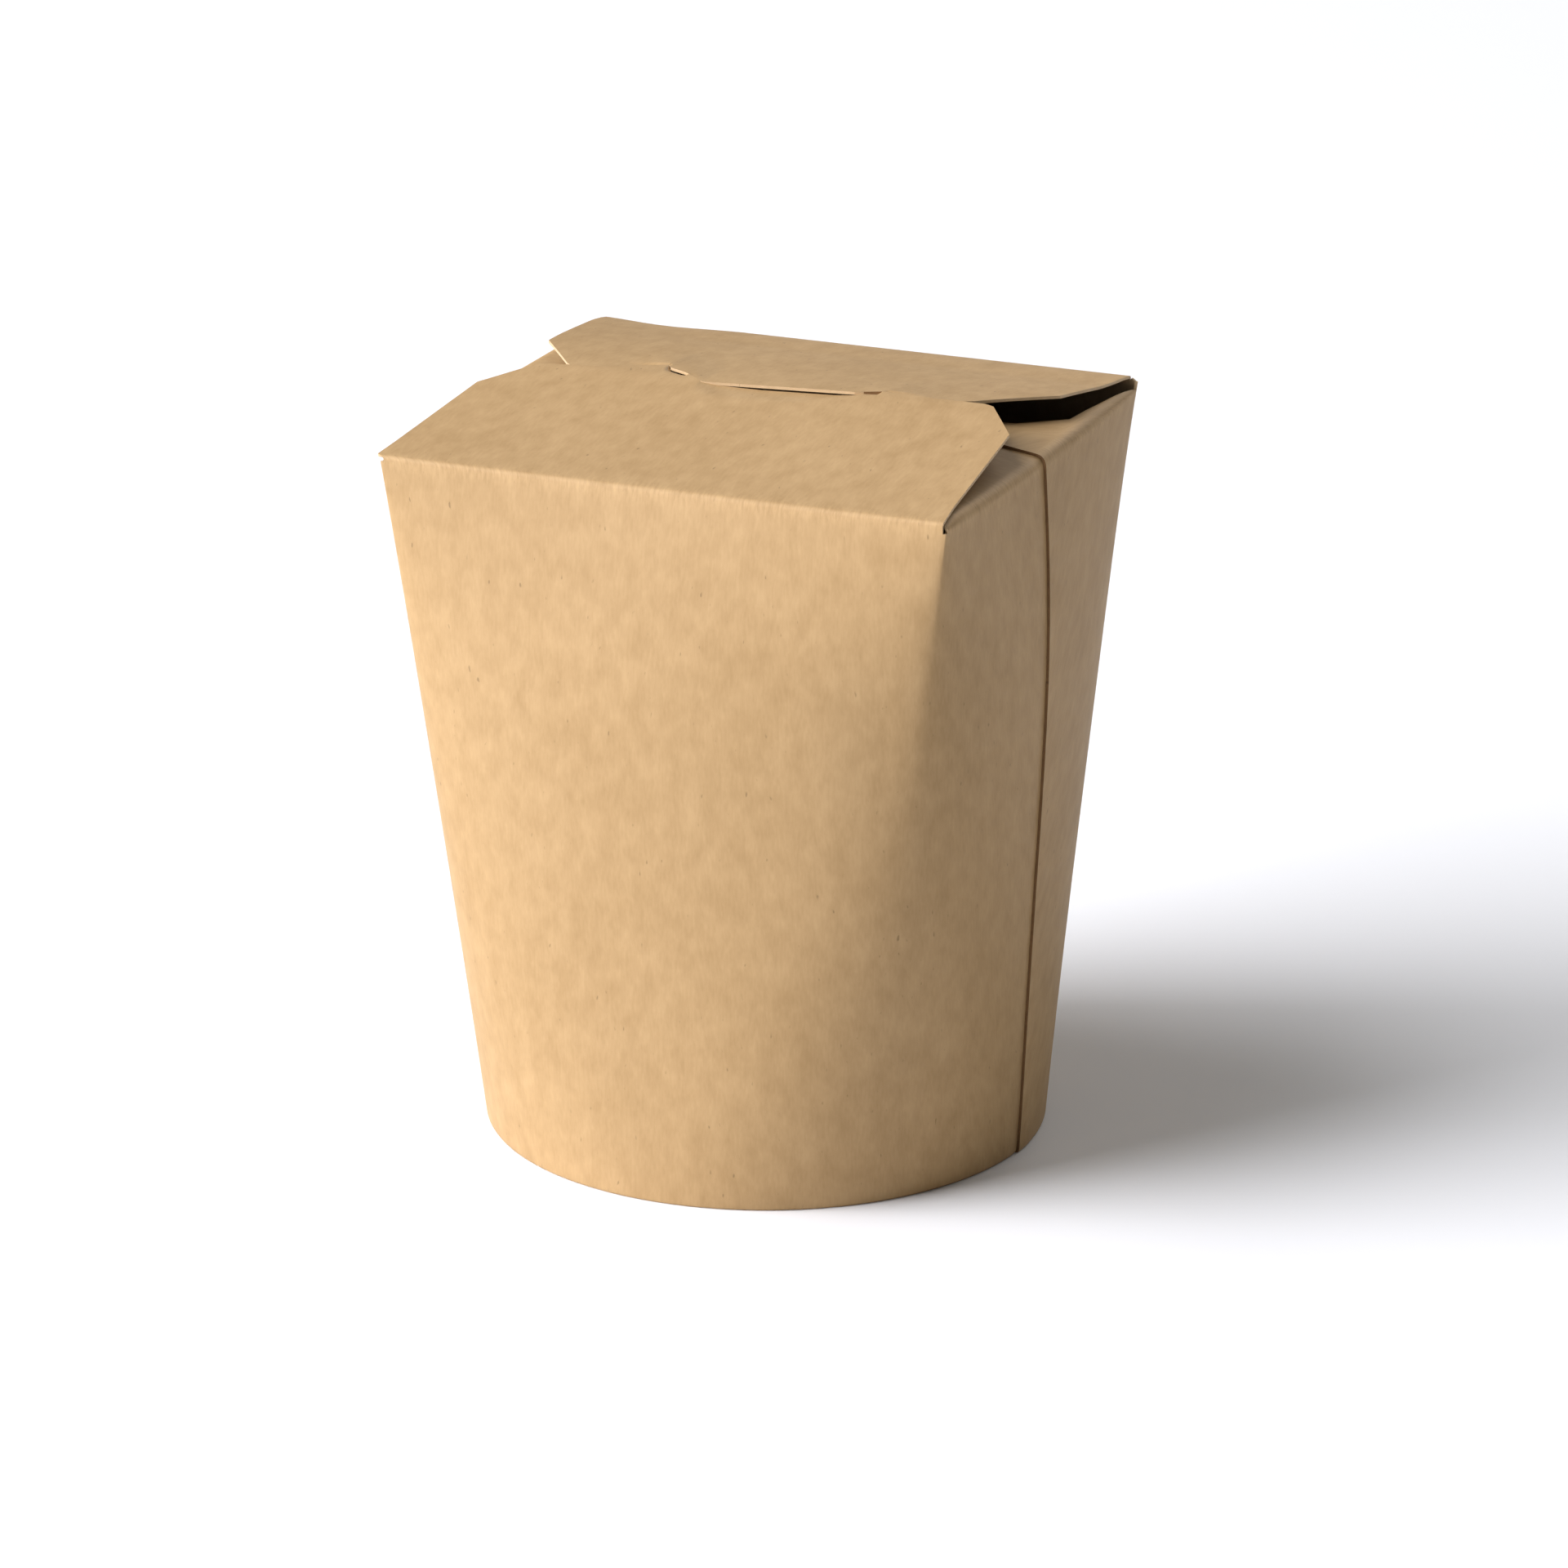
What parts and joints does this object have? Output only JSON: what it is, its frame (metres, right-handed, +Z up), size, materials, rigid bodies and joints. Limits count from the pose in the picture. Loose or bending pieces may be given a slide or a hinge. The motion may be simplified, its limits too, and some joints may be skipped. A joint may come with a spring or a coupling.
{
  "type": "noodle takeaway box",
  "caption": "Shut noodle box of kraft board: a round recessed base, a tapered wall that turns square at the mouth, and folded top flaps locked by a tongue in a slit.",
  "frame": {"origin": "middle of the round base, on the surface the box stands on", "axes": "+Z up; the front flap, which lies on top, folds along the -Y side of the mouth; the glued side seam runs down the +X wall"},
  "size_m": [0.0966, 0.0928, 0.1209],
  "materials": {
    "kraft_board": "uncoated unbleached kraft, matt, with a faint vertical fibre grain",
    "kraft_base": "uncoated unbleached kraft, matt"
  },
  "bodies": {
    "root": {"carton": "kraft_board", "base_disc": "kraft_base"}
  },
  "joints": []
}
